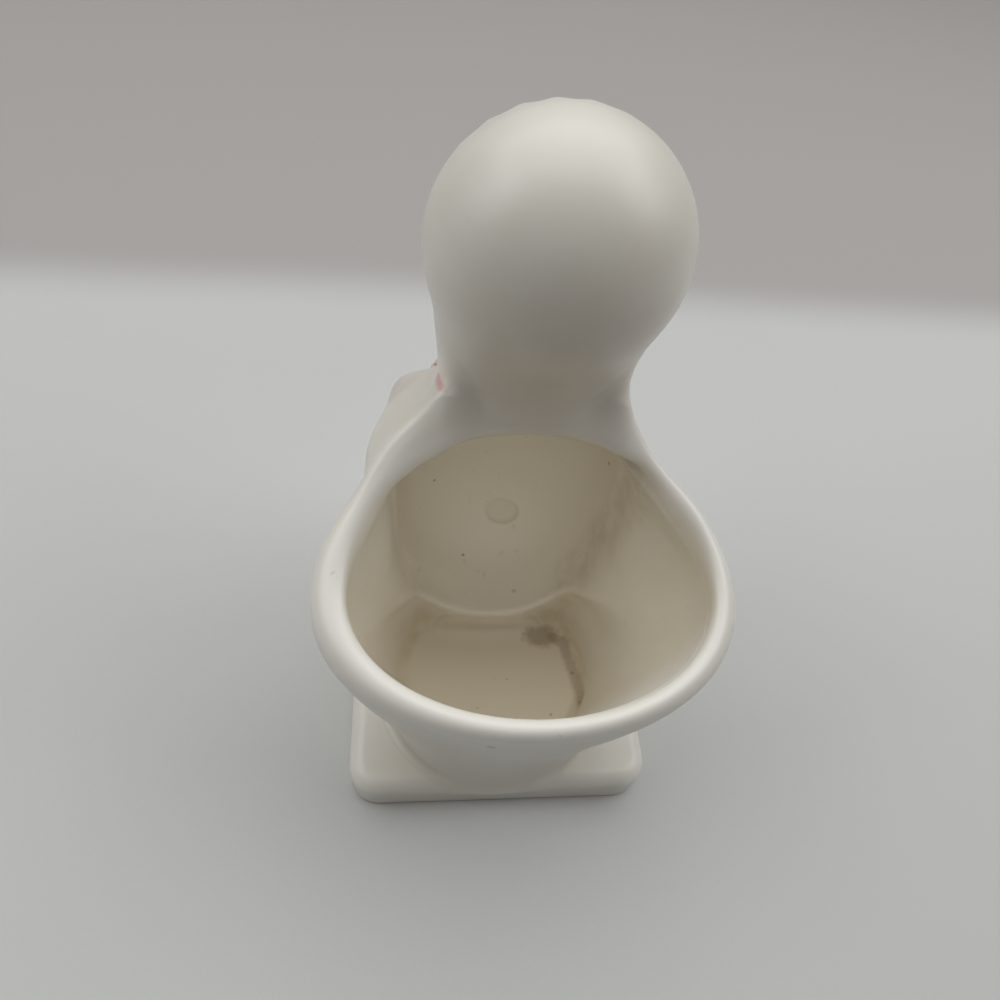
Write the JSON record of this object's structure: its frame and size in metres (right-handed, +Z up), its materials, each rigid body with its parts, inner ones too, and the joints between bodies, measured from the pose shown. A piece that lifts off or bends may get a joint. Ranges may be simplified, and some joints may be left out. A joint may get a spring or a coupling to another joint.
{
  "type": "figural planter",
  "caption": "Glazed ceramic planter shaped as a seated baby in a bonnet; the hollow body is a deep pot open at the back, on a low rectangular plinth.",
  "frame": {"origin": "bottom centre of the bounding box, on the plane the plinth stands on", "axes": "+Z up; -Y is the figure's front, +Y the open back of the pot; +X is the figure's left"},
  "size_m": [0.088, 0.1031, 0.157],
  "materials": {
    "plinth_glaze": "glossy off-white glaze, bare ground foot underneath",
    "white_glaze": "glossy warm white glaze, cream and a little stained inside",
    "head_glaze": "glossy white glaze with a hand-painted face",
    "trim_glaze": "glossy white glaze with a faint pink tint at the edges",
    "pink_glaze": "soft pink paint under clear glaze",
    "limb_glaze": "glossy white glaze, palest flesh tint on bare skin"
  },
  "bodies": {
    "root": {"plinth": "plinth_glaze", "pot_body": "white_glaze", "head": "head_glaze", "bonnet_brim": "trim_glaze", "neck_ribbon": "pink_glaze", "chin_bow": "pink_glaze", "collar": "trim_glaze", "left_arm": "limb_glaze", "right_arm": "limb_glaze", "left_leg": "limb_glaze", "right_leg": "limb_glaze"}
  },
  "joints": []
}
